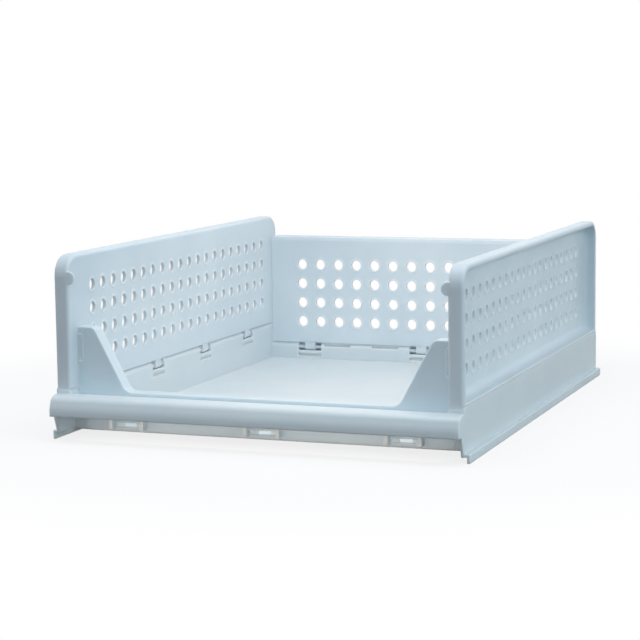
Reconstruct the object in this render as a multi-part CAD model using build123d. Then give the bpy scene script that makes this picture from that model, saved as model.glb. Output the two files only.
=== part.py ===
"""Collapsible stacking storage box: a low tray with four panels that fold down onto it.

Millimetres. X runs from left to right, Y from front to back and Z up. The origin is the centre of the
bottom of the whole box, in the plane that the runner lips stand on.
"""
import os

from build123d import *

# Whole box
body_width = 322.5
panel_depth = 420.0
wall_top = 39.5
side_rise = 101.0

# Plastic and clearances
skin = 2.0
seam_gap = 0.3
end_gap = 0.8

# Side panels
side_thickness = 12.0
side_corner = 16.0
side_edge_round = 2.5
side_first_row = 21.5

# Back panel and the wall it stands on
back_thickness = 14.7
back_height = 100.2
back_drop = 18.0
back_corner = 3.0
back_edge_round = 1.5
back_bevel_height = 3.5
back_bevel_depth = 0.95
back_first_row = 20.2

# Flanges round the outer side of the perforated panels, the one along the foot being thinner, and the
# hollow curve where the plate meets them
flange_width = 4.0
foot_flange = 2.0
plate_curve = 6.0

# Ventilation holes: the margins are the least distances from a hole's centre to the ends and the top
hole_pitch = 18.0
hole_diameter = 9.4
hole_end_margin = 31.0
hole_top_margin = 20.0
rim_width = 1.8
rim_slope = 0.8
rim_rise = 0.5

# Front baffle with its two ears
baffle_thickness = 12.0
baffle_setback = 12.0
ear_rise = 46.0
ear_top_width = 13.6
ear_foot_width = 39.7
ear_top_round = 6.0
ear_foot_round = 9.0
lip_drop = 3.0
baffle_edge_round = 0.6

# Tray
floor_thickness = 1.6
lip_depth = 4.4
lip_reach = 4.0
wall_edge_round = 4.5
wall_end_round = 2.0
skirt_step = 0.6
skirt_margin = 1.2
skirt_round = 3.5

# Grip nose across the front of the tray, and the cheeks of the side walls under its ends
nose_reach = 13.0
nose_drop = 3.7
nose_crown = 12.0
nose_crown_round = 20.0
nose_fall = 2.3
nose_shoulder = 3.2
nose_shoulder_drop = 2.2
nose_shoulder_round = 6.0
nose_face = 6.0
nose_face_round = 12.0
nose_end_round = 0.6
cheek_reach = 6.0
cheek_toe = 1.0

# Hinges, measured from the top of the wall that holds them
axis_depth = 4.5
axis_inset = 3.0
pin_radius = 1.5
pin_clearance = 0.05
pin_end_gap = 0.5
hook_clearance = 0.1
hook_wall = 1.2
hook_width = 10.0
hook_mouth = 2.4
hook_mouth_angle = 45.0
window_width = 23.0
window_play = 1.7
sill_gap = 0.4
sill_height = 2.8
slot_height = 2.9
slot_web = 0.8
jamb_thickness = 3.0
jamb_foot = 1.1

# Hinge places, measured from the side panels' front and rear ends and from the side walls' inner faces
side_hinges = 4
side_hinge_first = 59.0
side_hinge_last = 73.0
end_hinges = 3
end_hinge_margin = 38.5

# Notches in the top edge of the back wall: one beside each outer hinge, one at each side of the middle
notch_width = 26.0
notch_height = 3.5
notch_depth = 2.5
notch_back = 1.0
notch_from_hinge = 27.5
notch_from_middle = 35.75

# Stop tabs and catches on the side panels. A catch has more room below it than above, because a panel's
# pocket or notch rises a little as the panel starts to fold.
stop_radius = 5.0
stop_rise = 84.0
stop_thickness = 2.0
stop_setback = 0.4
catch_reach = 5.0
catch_thickness = 2.8
catch_low = 20.6
catch_high = 40.2
catch_round = 1.5
catch_play = 0.4
catch_lift_play = 1.0
catch_seat = 0.3

# Places worked out from the sizes
half_width = body_width / 2
inner_half = half_width - side_thickness
nose_front = -(panel_depth + nose_reach) / 2
panel_front = nose_front + nose_reach
panel_rear = panel_front + panel_depth
panel_middle = (panel_front + panel_rear) / 2
baffle_front = panel_front + baffle_setback
baffle_rear = baffle_front + baffle_thickness
back_front = panel_rear - seam_gap - back_thickness
end_wall_top = wall_top - back_drop
floor_top = lip_depth + floor_thickness
nose_top = wall_top - nose_drop
nose_bottom = end_wall_top - skin
skirt_front = baffle_rear - skin
knuckle_radius = pin_radius + hook_clearance + hook_wall
window_height = axis_depth + knuckle_radius + sill_gap
side_hinge_pitch = (panel_depth - side_hinge_first - side_hinge_last) / (side_hinges - 1)
side_hinge_places = [panel_front + side_hinge_first + side_hinge_pitch * i for i in range(side_hinges)]
outer_hinge = inner_half - end_hinge_margin
end_hinge_places = [outer_hinge * (2 * i / (end_hinges - 1) - 1) for i in range(end_hinges)]


def block(x, y, z):
    """Box between a low and a high value on each axis."""
    low, high = zip(x, y, z)
    size = [b - a for a, b in zip(low, high)]
    middle = [(a + b) / 2 for a, b in zip(low, high)]
    return Pos(*middle) * Box(*size)


def outline(corners):
    """Closed flat outline from (across, up, corner radius) triples."""
    points = [(across, up) for across, up, radius in corners]
    radii = [radius for across, up, radius in corners]
    return make_face(FilletPolyline(*points, radius=radii, close=True))


def through_y(profile, near, far):
    """Solid with a profile drawn in X and Z, from Y=near to Y=far."""
    return Pos(0, far, 0) * extrude(Plane.XZ * profile, amount=far - near)


def through_x(profile, near, far):
    """Solid with a profile drawn in Y and Z, from X=near to X=far."""
    return Pos(near, 0, 0) * extrude(Plane.YZ * profile, amount=far - near)


def rod_along_x(radius, length, y, z):
    """Cylinder lying along X, centred on the plane X=0."""
    return Pos(0, y, z) * Rot(0, 90, 0) * Cylinder(radius, length)


# Every wall and its panel are drawn in one way first: the hinge line along X, the inner face of the wall
# in the plane Y=0, the wall's thickness towards +Y and its top at Z=0. These places then turn that
# drawing to the four sides of the box. Cutting shapes run past the faces that they cut by a skin or so.

def on_left(part, y=0.0):
    return Pos(-inner_half, y, wall_top) * Rot(0, 0, 90) * part


def on_back(part, x=0.0):
    return Pos(x, back_front, end_wall_top) * part


def on_front(part, x=0.0):
    return Pos(x, baffle_rear, end_wall_top) * Rot(0, 0, 180) * part


def other_side(part):
    """The same piece on the other side of the box."""
    return mirror(part, about=Plane.YZ)


def hinge_slot(width, near, far):
    """Room of the slot under a window's sill, between two depths in the wall."""
    slot_top = -window_height - sill_height
    return block((-width / 2, width / 2), (near, far), (slot_top - slot_height, slot_top))


def hinge_window(slot_depth=skin - slot_web):
    """Opening for the hook, and under its sill a slot that a thin web closes behind."""
    reach = window_width / 2
    depth = axis_inset + knuckle_radius + window_play
    opening = block((-reach, reach), (-skin, depth), (-window_height, skin))
    return opening + hinge_slot(window_width, -skin, slot_depth)


def front_hinge_window():
    """Window of the front wall: its slot is cut from both faces, and is open behind the hook."""
    slot_depth = (skin - slot_web) / 2
    window = hinge_window(slot_depth) + hinge_slot(window_width, skin - slot_depth, 2 * skin)
    return window + hinge_slot(hook_width, 0, skin)


def hinge_jambs():
    """Two ribs inside the wall, one at each side of a window, that hold the pin's ends."""
    inner = window_width / 2
    outer = inner + jamb_thickness
    depth = side_thickness - skin
    height = window_height + sill_height + slot_height + jamb_foot
    right = block((inner, outer), (0, depth), (-height, 0))
    left = block((-outer, -inner), (0, depth), (-height, 0))
    return left + right


def hinge_pin_length():
    return window_width + 2 * jamb_thickness


def hinge_pin():
    return rod_along_x(pin_radius, hinge_pin_length(), axis_inset, -axis_depth)


def hinge_bore():
    """Hole through both jambs for the pin."""
    length = hinge_pin_length() + 2 * pin_end_gap
    return rod_along_x(pin_radius + pin_clearance, length, axis_inset, -axis_depth)


def hinge_hook():
    """Snap hook under a panel: a knuckle round the pin, open at its outer lower side, and its neck."""
    neck_near = axis_inset - knuckle_radius
    neck_far = axis_inset + knuckle_radius
    reach = hook_width / 2
    knuckle = rod_along_x(knuckle_radius, hook_width, axis_inset, -axis_depth)
    neck = block((-reach, reach), (neck_near, neck_far), (-axis_depth, seam_gap + skin / 2))
    bore = rod_along_x(pin_radius + hook_clearance, hook_width + skin, axis_inset, -axis_depth)
    mouth = block((-hook_width, hook_width), (0, 2 * knuckle_radius), (-hook_mouth / 2, hook_mouth / 2))
    return knuckle + neck - bore - Pos(0, axis_inset, -axis_depth) * Rot(-hook_mouth_angle, 0, 0) * mouth


def top_edge_round(length, radius):
    """What is cut from a wall's top edge on the Y=0 side to round it."""
    corner = block((-length / 2, length / 2), (-skin, radius), (-radius, skin))
    return corner - rod_along_x(radius, length + skin, radius, -radius)


def hole_cutter():
    """One ventilation hole through a panel's plate."""
    return Rot(-90, 0, 0) * Pos(0, 0, skin / 2) * Cylinder(hole_diameter / 2, 3 * skin)


def hole_rim():
    """Raised rim round a ventilation hole on both faces of the plate, with a sloping outer side."""
    foot = hole_diameter / 2 + rim_width
    crest = foot - rim_slope
    inner_rim = Pos(0, 0, -rim_rise / 2) * Cone(crest, foot, rim_rise)
    outer_rim = Pos(0, 0, skin + rim_rise / 2) * Cone(foot, crest, rim_rise)
    return Rot(-90, 0, 0) * (inner_rim + Pos(0, 0, skin / 2) * Cylinder(foot, skin) + outer_rim)


def copies(room):
    """How many holes one pitch apart fit into the room between the first and the last centre."""
    return int(room // hole_pitch) + 1


def perforated_panel(length, height, thickness, corner, edge_round, first_row):
    """Upright panel with a perforated plate on its inner face and flanges outwards along every edge."""
    low = seam_gap
    high = seam_gap + height
    half = length / 2
    shape = outline([(-half, low, 0), (half, low, 0), (half, high, corner), (-half, high, corner)])
    panel = through_y(shape, 0, thickness)
    for face in (0, -1):
        panel = fillet(panel.edges().group_by(Axis.Y)[face].sort_by(Axis.Z)[1:], edge_round)
    side = half - flange_width
    recess_low = low + foot_flange
    recess_high = high - flange_width
    recess_corner = max(corner - flange_width, 0)
    recess = outline([(-side, recess_low, 0), (side, recess_low, 0),
                      (side, recess_high, recess_corner), (-side, recess_high, recess_corner)])
    recess = through_y(recess, skin, thickness + skin)
    recess = fillet(recess.edges().group_by(Axis.Y)[0], plate_curve)
    columns = copies(length - 2 * hole_end_margin)
    rows = copies(high - first_row - hole_top_margin)
    first_column = -hole_pitch * (columns - 1) / 2
    places = [Pos(first_column + hole_pitch * i, 0, first_row + hole_pitch * j)
              for i in range(columns) for j in range(rows)]
    rim = hole_rim()
    cutter = hole_cutter()
    return panel - recess + [place * rim for place in places] - [place * cutter for place in places]


def make_left_panel():
    """Side panel with four hooks, a stop tab near its top front corner and catches for both end panels."""
    panel = perforated_panel(panel_depth, side_rise - seam_gap, side_thickness, side_corner,
                             side_edge_round, side_first_row)
    panel = on_left(panel, panel_middle)
    for place in side_hinge_places:
        panel += on_left(hinge_hook(), place)
    stop = Pos(-inner_half, panel_front + stop_setback + stop_thickness / 2, wall_top + stop_rise)
    stop = stop * Rot(90, 0, 0) * Cylinder(stop_radius, stop_thickness)
    return panel + stop + front_catch() + rear_catch()


def catch_block(near, far):
    """Flat tab on the left panel's inner face, between two values of Y."""
    root = -inner_half - skin / 2
    tip = -inner_half + catch_reach
    low = wall_top + catch_low
    high = wall_top + catch_high
    shape = outline([(root, low, 0), (tip, low, catch_round), (tip, high, catch_round), (root, high, 0)])
    return through_y(shape, near, far)


def front_catch():
    """Tab that stands in the ear's pocket and keeps the baffle from leaning out."""
    near = baffle_front + catch_seat
    return catch_block(near, near + catch_thickness)


def rear_catch():
    """Tab behind the back panel's end, which keeps it from leaning out."""
    far = panel_rear - catch_seat
    return catch_block(far - catch_thickness, far)


def catch_room():
    """Low and high ends of the room that a catch has, from the side walls' top."""
    return catch_low - catch_lift_play, catch_high + catch_play


def make_back_panel():
    """Back panel with three hooks, and a notch for a catch in each end flange."""
    length = 2 * (inner_half - end_gap)
    panel = perforated_panel(length, back_height, back_thickness, back_corner, back_edge_round,
                             back_first_row)
    top = seam_gap + back_height
    bevel = outline([(-skin, top - back_bevel_height, 0), (0, top - back_bevel_height, 0),
                     (back_bevel_depth, top, 0), (back_bevel_depth, top + skin, 0), (-skin, top + skin, 0)])
    panel -= through_x(bevel, -half_width, half_width)
    for place in end_hinge_places:
        panel += Pos(place, 0, 0) * hinge_hook()
    low, high = catch_room()
    notch_near = back_thickness - catch_thickness - 2 * catch_seat
    reach = catch_reach + end_gap
    notch = block((inner_half - reach, inner_half + skin), (notch_near, back_thickness + skin),
                  (low + back_drop, high + back_drop))
    return on_back(panel - notch - other_side(notch))


def baffle_outline():
    """Front view of the baffle: an ear at each end and a low middle between them."""
    low = end_wall_top + seam_gap
    lip = wall_top - lip_drop
    high = wall_top + ear_rise
    end = inner_half - end_gap
    foot = end - ear_foot_width
    top = end - ear_top_width
    return outline([(-end, low, seam_gap), (end, low, seam_gap), (end, high, skin / 2),
                    (top, high, ear_top_round), (foot, lip, ear_foot_round),
                    (-foot, lip, ear_foot_round), (-top, high, ear_top_round), (-end, high, skin / 2)])


def make_front_panel():
    """Solid baffle: plate to the front, flanges to the rear, a pocket in each ear and three hooks."""
    shape = baffle_outline()
    panel = through_y(shape, baffle_front, baffle_rear)
    faces = panel.edges().group_by(Axis.Y)
    panel = fillet(faces[0] + faces[-1], baffle_edge_round)
    panel -= through_y(offset(shape, -skin, kind=Kind.INTERSECTION), baffle_front + skin, baffle_rear + skin)
    low, high = catch_room()
    low = wall_top + low
    high = wall_top + high
    outer = inner_half + skin
    inner = inner_half - catch_reach - catch_play
    depth = catch_thickness + 2 * catch_seat
    backing = block((inner - skin, inner_half - end_gap), (baffle_front, baffle_front + depth + skin),
                    (low - skin, high + skin))
    corner = catch_round + catch_play
    opening = outline([(inner, low, corner), (outer, low, 0), (outer, high, 0), (inner, high, corner)])
    pocket = through_y(opening, baffle_front - skin, baffle_front + depth)
    panel = panel + backing + other_side(backing) - pocket - other_side(pocket)
    for place in end_hinge_places:
        panel += on_front(hinge_hook(), place)
    return panel


def side_wall():
    """Left wall of the tray: hollow, open below, its outer plate reaching forward as the nose's cheek."""
    outer = -half_width
    cheek_front = panel_front - cheek_reach
    cheek = outline([(panel_front, wall_top, 0), (panel_rear, wall_top, 0), (panel_rear, lip_depth, 0),
                     (panel_front - cheek_toe, lip_depth, 0), (cheek_front, nose_bottom - skin / 2, 0),
                     (cheek_front, nose_bottom + skin / 2, 0), (panel_front, nose_bottom + skin / 2, 0)])
    wall = through_x(cheek, outer, outer + skin)
    wall += block((-inner_half - skin, -inner_half), (skirt_front, panel_rear), (lip_depth, wall_top))
    wall += block((-inner_half - skin, -inner_half), (panel_front, baffle_rear), (nose_bottom, wall_top))
    wall += block((outer, -inner_half), (panel_front, panel_rear), (wall_top - skin, wall_top))
    wall += block((outer, -inner_half), (panel_rear - skin, panel_rear), (lip_depth, wall_top))
    wall += block((outer, -inner_half), (skirt_front, baffle_rear), (lip_depth, wall_top))
    wall += block((outer, -inner_half), (panel_front, panel_front + skin), (nose_bottom + skin, wall_top))
    return wall + runner_lip()


def runner_lip():
    """Ledge along the foot of the left wall, with the lip that hangs outside a box below."""
    outer = -half_width - lip_reach
    ledge = block((outer, -half_width + skin), (panel_front, panel_rear), (lip_depth, lip_depth + skin))
    lip = block((outer, outer + skin), (panel_front, panel_rear), (0, lip_depth + skin))
    return ledge + lip


def nose_outline():
    """Section of the grip nose across the front of the tray: its crown falls to the front and the rear."""
    return outline([(baffle_front, nose_top - nose_fall, 0),
                    (nose_front + nose_crown, nose_top, nose_crown_round),
                    (nose_front + nose_shoulder, nose_top - nose_shoulder_drop, nose_shoulder_round),
                    (nose_front, nose_bottom + nose_face, nose_face_round),
                    (nose_front, nose_bottom, 0), (baffle_front, nose_bottom, 0)])


def nose():
    """Hollow grip nose, open below so that fingers reach behind it."""
    end = half_width - skin
    shell = through_x(nose_outline(), -half_width, half_width)
    faces = shell.edges().group_by(Axis.X)
    # Each end's outline without its lowest edge and its rearmost one
    rims = [edge for face in (faces[0], faces[-1]) for edge in face.sort_by(Axis.Z)[1:].sort_by(Axis.Y)[:-1]]
    shell = fillet(rims, nose_end_round)
    hollow = through_x(offset(nose_outline(), -skin, kind=Kind.INTERSECTION), -end, end)
    mouth = block((-end, end), (nose_front + skin, baffle_front - skin),
                  (nose_bottom - skin, nose_bottom + 1.5 * skin))
    return shell - hollow - mouth


def end_wall(depth, length):
    """Wall under an end panel, in the shared drawing: inner plate and top, open below."""
    drop = end_wall_top - lip_depth
    inner = block((-length / 2, length / 2), (0, skin), (-drop, 0))
    top = block((-length / 2, length / 2), (0, depth), (-skin, 0))
    return inner + top


def skirt():
    """Slightly raised field on the front of the wall under the nose, rounded at its lower corners."""
    reach = inner_half - skirt_margin
    shape = outline([(-reach, lip_depth, skirt_round), (reach, lip_depth, skirt_round),
                     (reach, nose_bottom, 0), (-reach, nose_bottom, 0)])
    return through_y(shape, skirt_front - skirt_step, baffle_rear)


def at_notches(part):
    """The same piece at each notch of the back wall, on both sides of the middle."""
    places = [outer_hinge - notch_from_hinge, notch_from_middle]
    return [on_back(part, side * place) for side in (-1, 1) for place in places]


def back_notch():
    """What one notch cuts from the wall's top edge, in the shared drawing."""
    reach = notch_width / 2
    return block((-reach, reach), (-skin, notch_depth), (-notch_height, skin))


def back_notch_room():
    """Thicker plastic round one notch, which closes it towards the hollow wall."""
    reach = notch_width / 2 + notch_back
    return block((-reach, reach), (0, notch_depth + notch_back), (-notch_height - notch_back, 0))


def make_base_tray():
    """Floor, hollow walls, nose and runner lips in one moulding."""
    width = 2 * inner_half
    left = side_wall()
    tray = block((-inner_half - skin, inner_half + skin), (baffle_rear - skin, back_front + skin),
                 (lip_depth, floor_top))
    back = end_wall(panel_rear - back_front, width)
    outer_plate = block((-inner_half, inner_half), (panel_rear - skin, panel_rear), (lip_depth, end_wall_top))
    front = end_wall(baffle_thickness + skin, width)
    tray = tray + left + other_side(left) + on_back(back) + outer_plate
    tray = tray + on_front(front) + skirt() + nose()
    tray += at_notches(back_notch_room())
    cuts = at_notches(back_notch())
    for place in side_hinge_places:
        tray += [on_left(hinge_jambs(), place), other_side(on_left(hinge_jambs(), place))]
        cuts += [on_left(hinge_window(), place), other_side(on_left(hinge_window(), place))]
        cuts += [on_left(hinge_bore(), place), other_side(on_left(hinge_bore(), place))]
    for place in end_hinge_places:
        tray += [on_back(hinge_jambs(), place), on_front(hinge_jambs(), place)]
        cuts += [on_back(hinge_window(), place), on_front(front_hinge_window(), place)]
        cuts += [on_back(hinge_bore(), place), on_front(hinge_bore(), place)]
    side_round = on_left(top_edge_round(panel_depth + skin, wall_edge_round), panel_middle)
    panel_round = top_edge_round(width, wall_edge_round)
    wall_end = top_edge_round(side_thickness + 2 * skin, wall_end_round)
    wall_end = Pos(-(inner_half + half_width) / 2, panel_front, wall_top) * wall_end
    rounds = [side_round, other_side(side_round), on_back(panel_round), on_front(panel_round)]
    rounds += [wall_end, other_side(wall_end)]
    return tray - rounds - cuts


def build():
    """Every piece of the box by name."""
    left_panel = make_left_panel()
    pieces = {
        "base_tray": make_base_tray(),
        "left_panel": left_panel,
        "right_panel": other_side(left_panel),
        "back_panel": make_back_panel(),
        "front_panel": make_front_panel(),
    }
    for number, place in enumerate(side_hinge_places, 1):
        pin = on_left(hinge_pin(), place)
        pieces[f"left_hinge_pin_{number}"] = pin
        pieces[f"right_hinge_pin_{number}"] = other_side(pin)
    for number, place in enumerate(end_hinge_places, 1):
        pieces[f"back_hinge_pin_{number}"] = on_back(hinge_pin(), place)
        pieces[f"front_hinge_pin_{number}"] = on_front(hinge_pin(), place)
    return pieces


os.makedirs("parts", exist_ok=True)
for name, piece in build().items():
    export_step(piece, f"parts/{name}.step")
    box = piece.bounding_box()
    print(f"{name}: {len(piece.solids())} solid, x {box.min.X:.2f} to {box.max.X:.2f}, "
          f"y {box.min.Y:.2f} to {box.max.Y:.2f}, z {box.min.Z:.2f} to {box.max.Z:.2f}")
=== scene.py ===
# %% [markdown]
# # A collapsible stacking storage box
#
# The real object is a shallow drawer for a wardrobe or kitchen shelf: a low tray with a rounded grip
# across its front, two long perforated side panels, a perforated back panel and a baffle with two ears at
# the front. All of it is injection-moulded polypropylene in one pale icy blue.
#
# The CAD model already has the true shapes, so this lesson keeps its pieces as they are. What is left for
# Blender is what a camera adds: the way satin plastic takes light, a plain studio round it, and the lens.

import math

import bpy
from mathutils import Matrix, Vector


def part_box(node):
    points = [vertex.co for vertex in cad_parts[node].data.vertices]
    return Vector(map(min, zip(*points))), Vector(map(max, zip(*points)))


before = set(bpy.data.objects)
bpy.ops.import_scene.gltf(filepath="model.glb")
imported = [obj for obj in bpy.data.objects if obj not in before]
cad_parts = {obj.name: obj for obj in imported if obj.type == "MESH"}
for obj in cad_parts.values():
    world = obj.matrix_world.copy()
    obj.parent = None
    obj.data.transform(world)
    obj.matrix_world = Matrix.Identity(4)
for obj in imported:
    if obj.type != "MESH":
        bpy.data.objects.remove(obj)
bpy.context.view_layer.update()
MM = 0.001

# %% [markdown]
# ## Two small helpers
#
# Colours are easiest to choose in sRGB, the numbers that a paint program shows, but a shader counts in
# linear light. One function turns a hex colour into linear, so no colour below is written twice.
#
# A material is a graph of nodes. One function adds a node, fills in its settings and links its inputs, so
# each material reads as a list of what it is made of.


# %% Colours and nodes
def linear(hex_colour):
    """sRGB hex colour as linear RGBA."""
    values = [int(hex_colour[i:i + 2], 16) / 255 for i in (1, 3, 5)]
    return [v / 12.92 if v <= 0.04045 else ((v + 0.055) / 1.055) ** 2.4 for v in values] + [1.0]


def add(tree, kind, inputs=None, **settings):
    """Adds a node, sets its attributes, and sets or links its inputs by name or number."""
    node = tree.nodes.new(kind)
    for name, value in settings.items():
        setattr(node, name, value)
    for key, value in (inputs or {}).items():
        if isinstance(value, bpy.types.NodeSocket):
            tree.links.new(value, node.inputs[key])
        else:
            node.inputs[key].default_value = value
    return node


print("pale blue in linear light:", [round(v, 3) for v in linear("#cfe0ea")[:3]])

# %% [markdown]
# ## Moulded polypropylene
#
# Polypropylene is slightly translucent: light goes a few millimetres into it and comes out again, which
# softens every shadow edge. That is subsurface scattering, with a scale of 3 mm.
# Its refractive index is 1.49, and the mould was spark-eroded to a satin finish, so highlights are broad
# and weak. The grain of such a mould is near 0.2 mm, too fine for this picture, so it is drawn at 0.9 mm.
#
# Four things keep it from looking like flat paint. Melt that flowed through the mould leaves cloudy
# marks a hand's width across. Corners and rims turn a little paler, which a Bevel node finds by comparing
# its rounded normal with the true one: partly wear from handling, partly a painted highlight where the
# rounded edges catch light. Inner corners that Ambient Occlusion finds are mixed towards a darker colour,
# which is painted shade. The same node finds the narrow gaps between the pieces. The thin walls round
# them let some light through, so no gap is black: a faint painted glow inside the gaps stands for it.


# %% The plastic
POLYPROPYLENE_IOR = 1.49
SCATTER_SCALE = 3.0 * MM
FLOW_MARK = 70 * MM
ORANGE_PEEL = 6 * MM
MOULD_GRAIN = 0.9 * MM
BUMP_HEIGHT = 0.02 * MM
BUMP_STRENGTH = 0.5
EDGE_RADIUS = 1.2 * MM
CORNER_REACH = 8 * MM
FLOW_SHARE = 0.22
# share of the darker colour in the painted shade of inner corners
CORNER_SHADE_SHARE = 0.3
# strength of the painted glow in narrow gaps
GAP_GLOW_STRENGTH = 0.18


def polypropylene(name, colour, pale_tone_and_highlight, corner_shade_colour, roughness=0.42):
    """Satin moulded polypropylene: its colour, its paler edges of wear and painted highlight, painted shade
    in its inner corners and a painted glow in its gaps.
    """
    material = bpy.data.materials.new(name)
    material.use_nodes = True
    tree = material.node_tree
    tree.nodes.clear()
    place = add(tree, "ShaderNodeTexCoord").outputs["Object"]
    flow = add(tree, "ShaderNodeTexNoise", {"Vector": place, "Scale": 1 / FLOW_MARK, "Detail": 3.0})
    peel = add(tree, "ShaderNodeTexNoise", {"Vector": place, "Scale": 1 / ORANGE_PEEL, "Detail": 2.0})
    grain = add(tree, "ShaderNodeTexNoise", {"Vector": place, "Scale": 1 / MOULD_GRAIN, "Detail": 2.0})
    soft = add(tree, "ShaderNodeBevel", {"Radius": EDGE_RADIUS}, samples=4)
    true = add(tree, "ShaderNodeNewGeometry").outputs["Normal"]
    facing = add(tree, "ShaderNodeVectorMath", {0: soft.outputs[0], 1: true}, operation="DOT_PRODUCT")
    # paler edges: partly wear from handling, partly a painted highlight where rounded edges catch light
    edge_wear_and_highlight = add(tree, "ShaderNodeMapRange", {"Value": facing.outputs["Value"],
                                            "From Min": 0.995, "From Max": 0.9})
    corner = add(tree, "ShaderNodeAmbientOcclusion", {"Distance": CORNER_REACH}, samples=4)
    # painted shade: inner corners that Ambient Occlusion finds are mixed towards the darker colour
    painted_corner_shade = add(tree, "ShaderNodeMapRange", {"Value": corner.outputs["AO"], "From Min": 0.5, "From Max": 0.0,
                                            "To Max": CORNER_SHADE_SHARE})
    # painted glow: narrow gaps that Ambient Occlusion finds glow faintly in the pale colour
    painted_gap_glow = add(tree, "ShaderNodeMapRange", {"Value": corner.outputs["AO"], "From Min": 0.35, "From Max": 0.0,
                                            "To Max": GAP_GLOW_STRENGTH})
    cloud = add(tree, "ShaderNodeMapRange", {"Value": flow.outputs["Fac"], "From Min": 0.35, "From Max": 0.65,
                                             "To Min": 0.0, "To Max": FLOW_SHARE})
    body = add(tree, "ShaderNodeMix", {"Factor": cloud.outputs[0], 6: linear(colour), 7: linear(pale_tone_and_highlight)},
               data_type="RGBA")
    worn_and_highlit = add(tree, "ShaderNodeMix", {"Factor": edge_wear_and_highlight.outputs[0], 6: body.outputs[2], 7: linear(pale_tone_and_highlight)},
               data_type="RGBA")
    final = add(tree, "ShaderNodeMix", {"Factor": painted_corner_shade.outputs[0], 6: worn_and_highlit.outputs[2], 7: linear(corner_shade_colour)},
                data_type="RGBA")
    rough = add(tree, "ShaderNodeMapRange", {"Value": peel.outputs["Fac"], "From Min": 0.3, "From Max": 0.7,
                                             "To Min": roughness - 0.05, "To Max": roughness + 0.06})
    bump = {"Distance": BUMP_HEIGHT, "Strength": BUMP_STRENGTH}
    waves = add(tree, "ShaderNodeBump", {**bump, "Height": peel.outputs["Fac"], "Normal": soft.outputs[0]})
    bumps = add(tree, "ShaderNodeBump", {**bump, "Height": grain.outputs["Fac"],
                                         "Normal": waves.outputs[0]})
    shader = add(tree, "ShaderNodeBsdfPrincipled", {
        "Base Color": final.outputs[2], "Roughness": rough.outputs[0], "Normal": bumps.outputs[0],
        "IOR": POLYPROPYLENE_IOR, "Subsurface Weight": 1.0, "Subsurface Radius": (1.0, 1.0, 1.0),
        "Subsurface Scale": SCATTER_SCALE, "Emission Color": linear(pale_tone_and_highlight),
        "Emission Strength": painted_gap_glow.outputs[0]})
    add(tree, "ShaderNodeOutputMaterial", {"Surface": shader.outputs[0]})
    return material


# each plastic: base colour, a paler colour for flow marks, edges and the painted gap glow, and the darker
# colour of the painted corner shade
tray_plastic = polypropylene("tray_polypropylene", "#d9e5eb", "#edf4f7", "#b4c0c7")
panel_plastic = polypropylene("panel_polypropylene", "#d5e0e6", "#edf4f7", "#b2bec5")
baffle_plastic = polypropylene("baffle_polypropylene", "#d4e1e7", "#ebf2f6", "#b1bdc4", 0.38)
pin_plastic = polypropylene("pin_polypropylene", "#cbd8df", "#e2ebf0", "#a9b6be", 0.35)
print("plastics:", len(bpy.data.materials))

# %% [markdown]
# ## Dress the pieces
#
# Each moulding gets the plastic of its own shot. The four differ by a hair, as pieces from different
# moulds do: the baffle is a little glossier than the tray, and the hinge bars are rubbed smooth.

# %% Give every piece its plastic
finishes = {"base_tray": tray_plastic, "left_panel": panel_plastic, "right_panel": panel_plastic,
            "back_panel": panel_plastic, "front_panel": baffle_plastic}
for name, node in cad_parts.items():
    node.data.materials.clear()
    node.data.materials.append(finishes.get(name, pin_plastic))
print("dressed:", len(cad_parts))

# %% [markdown]
# ## A plain studio
#
# The photograph is cut out on white with a faint shadow at the foot of the box. A wide floor gives that.
# Its paper is grey for the light that it throws back at the box, which keeps the box's lower faces as dark
# as they are in the photograph, and white for what the lens and the reflections see. A part of plain
# white is added for them too, four fifths of it beside the box, where the shadow has to stay, and all
# of it further out. So the floor needs no more light on the box to be white.


# %% Floor
FLOOR_REACH = 6.0
SHADOW_REACH = 0.3
WHITE_REACH = 0.5
WHITE_SHARE = 0.8


def white_for_the_lens(tree):
    """1 for camera, glossy and transmission rays, 0 for the light that falls on the box."""
    path = add(tree, "ShaderNodeLightPath").outputs
    first = add(tree, "ShaderNodeMath", {0: path["Is Camera Ray"], 1: path["Is Glossy Ray"]},
                operation="MAXIMUM")
    both = add(tree, "ShaderNodeMath", {0: first.outputs[0], 1: path["Is Transmission Ray"]},
               operation="MAXIMUM")
    return both.outputs[0]


def make_paper():
    """Paper that is grey for bounced light and white for the lens."""
    paper = bpy.data.materials.new("white_paper")
    paper.use_nodes = True
    tree = paper.node_tree
    tree.nodes.clear()
    lens = white_for_the_lens(tree)
    place = add(tree, "ShaderNodeTexCoord").outputs["Object"]
    away = add(tree, "ShaderNodeVectorMath", {0: place}, operation="LENGTH").outputs["Value"]
    white = add(tree, "ShaderNodeMapRange", {
        "Value": away, "From Min": SHADOW_REACH, "From Max": WHITE_REACH,
        "To Min": WHITE_SHARE, "To Max": 1.0}, interpolation_type="SMOOTHSTEP")
    share = add(tree, "ShaderNodeMath", {0: lens, 1: white.outputs[0]}, operation="MULTIPLY")
    tone = add(tree, "ShaderNodeMix", {"Factor": lens, 6: linear("#545454"), 7: linear("#fbfbfb")},
               data_type="RGBA")
    sheet = add(tree, "ShaderNodeBsdfDiffuse", {"Color": tone.outputs[2]})
    glow = add(tree, "ShaderNodeEmission", {"Color": linear("#ffffff"), "Strength": 1.0})
    mix = add(tree, "ShaderNodeMixShader", {0: share.outputs[0], 1: sheet.outputs[0], 2: glow.outputs[0]})
    add(tree, "ShaderNodeOutputMaterial", {"Surface": mix.outputs[0]})
    return paper


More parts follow.
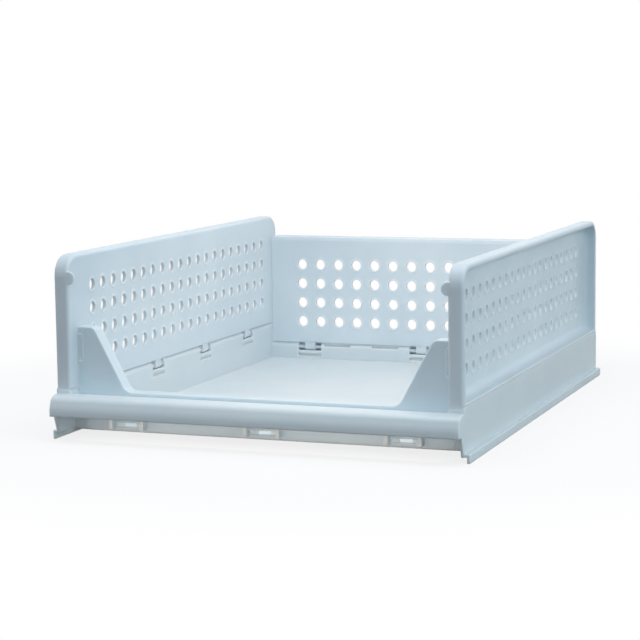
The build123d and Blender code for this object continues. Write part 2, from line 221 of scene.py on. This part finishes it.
def make_floor():
    """One large square on the floor."""
    mesh = bpy.data.meshes.new("floor")
    corners = [(x * FLOOR_REACH, y * FLOOR_REACH, 0) for x, y in ((-1, -1), (1, -1), (1, 1), (-1, 1))]
    mesh.from_pydata(corners, [], [(0, 1, 2, 3)])
    mesh.materials.append(make_paper())
    floor = bpy.data.objects.new("floor", mesh)
    bpy.context.scene.collection.objects.link(floor)


make_floor()
print("floor is", 2 * FLOOR_REACH, "m across")

# %% [markdown]
# ## The room's own light
#
# The world stands for the walls and ceiling of a bright room. It is even and dim, and the lamps add the
# rest. The lens sees plain white instead, as it does on the floor.

# %% World
SKY_LIGHT = 0.736
world = bpy.data.worlds.new("studio")
bpy.context.scene.world = world
world.use_nodes = True
sky_tree = world.node_tree
sky_tree.nodes.clear()
sky_dim = add(sky_tree, "ShaderNodeBackground", {"Color": linear("#f1f7ff"), "Strength": SKY_LIGHT})
sky_white = add(sky_tree, "ShaderNodeBackground", {"Color": linear("#ffffff"), "Strength": 1.0})
sky = add(sky_tree, "ShaderNodeMixShader", {0: white_for_the_lens(sky_tree), 1: sky_dim.outputs[0],
                                            2: sky_white.outputs[0]})
add(sky_tree, "ShaderNodeOutputWorld", {"Surface": sky.outputs[0]})
print("world light:", SKY_LIGHT)

# %% [markdown]
# ## Lamps
#
# In the photograph the inside of the box is bright on every face, also on the back panel, while the faces
# towards the lens are little more than half as bright. A lamp in front can't do that. So the main lamp is
# a soft square high over the front of the tray, tilted to the back: the front faces get next to none of
# it. A warm lamp just over the side panels adds what the ceiling throws into the box, and is tilted a
# little the same way. It is nearly as long as the tray, so that it leaves no bright spot on the floor.
# Two lamps of a slightly cyan white stand further off to the right. The high one brightens the panels a
# little, and the one near the ground lights the outer wall, the ledge and some of the front.
#
# The wall under the grip nose gets its light from a white table in the photograph. The floor here is grey
# for bounced light, so a faint strip lamp under the nose gives that light back. No lamp shows in any view.


# %% Soft lamps
def soft_lamp(name, colour, size, power, place, target):
    """Flat lamp of a colour, a width and depth in metres and a power in watts, turned to a target."""
    lamp = bpy.data.lights.new(name, "AREA")
    lamp.shape = "RECTANGLE"
    lamp.size, lamp.size_y = size
    lamp.energy = power
    lamp.color = linear(colour)[:3]
    holder = bpy.data.objects.new(name, lamp)
    bpy.context.scene.collection.objects.link(holder)
    holder.location = place
    holder.rotation_euler = (Vector(target) - Vector(place)).to_track_quat("-Z", "Y").to_euler()
    holder.visible_camera = False
    return holder


tray_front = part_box("base_tray")[0][1]
under_nose = (0.0, tray_front + 12 * MM, 1 * MM)
skirt_wall = (0.0, tray_front + 34 * MM, 14 * MM)
soft_lamp("high_light", "#f6feff", (0.35, 0.35), 1.5, (0.06, -0.17, 0.75), (0.0, 0.15, 0.0))
soft_lamp("light_over_tray", "#ffe2cc", (0.2, 0.34), 0.12, (0.02, -0.01, 0.17), (0.02, 0.03, 0.0))
soft_lamp("right_light", "#d8fbff", (0.8, 0.8), 0.4, (1.3, 0.0, 0.6), (0.0, 0.0, 0.05))
soft_lamp("low_right_light", "#d4f8ff", (0.7, 0.2), 2.9, (1.3, -0.4, 0.14), (0.16, 0.0, 0.05))
soft_lamp("strip_under_nose", "#fff0e2", (0.29, 0.02), 0.03, under_nose, skirt_wall)
print("lamps:", len(bpy.data.lights))

# %% [markdown]
# ## The camera
#
# A camera was solved from the photograph's own edges and hole grid. It stands about 1.6 m away, a
# quarter of a metre up, to the right of the box, and looks slightly down through a long lens. Its three
# axes are written as a matrix: right, up, and backwards from the view.

# %% Camera at the photograph's angle
FOCAL_PIXELS = 1925.378
PHOTO_PIXELS = 640
YAW, PITCH, ROLL = -0.362844, -0.127271, -0.013256
forward = Vector((math.sin(YAW) * math.cos(PITCH), math.cos(YAW) * math.cos(PITCH), math.sin(PITCH)))
level = Vector((math.cos(YAW), -math.sin(YAW), 0))
lift = level.cross(forward)
right = math.cos(ROLL) * level + math.sin(ROLL) * lift
up = -math.sin(ROLL) * level + math.cos(ROLL) * lift
lens = bpy.data.cameras.new("camera")
lens.sensor_fit = "HORIZONTAL"
lens.sensor_width = 36.0
lens.lens = FOCAL_PIXELS / PHOTO_PIXELS * lens.sensor_width
lens.clip_start = 0.05
lens.clip_end = 50
camera = bpy.data.objects.new("camera", lens)
bpy.context.scene.collection.objects.link(camera)
camera.matrix_world = Matrix((right, up, -forward)).transposed().to_4x4()
camera.location = Vector((540.6, -1485.6, 274.1)) * MM
bpy.context.scene.camera = camera
print("lens:", round(lens.lens, 1), "mm")

# %% [markdown]
# ## Plain colours
#
# The view transform is Standard, so a colour renders about as it is written.

# %% Finish
bpy.context.scene.view_settings.view_transform = "Standard"
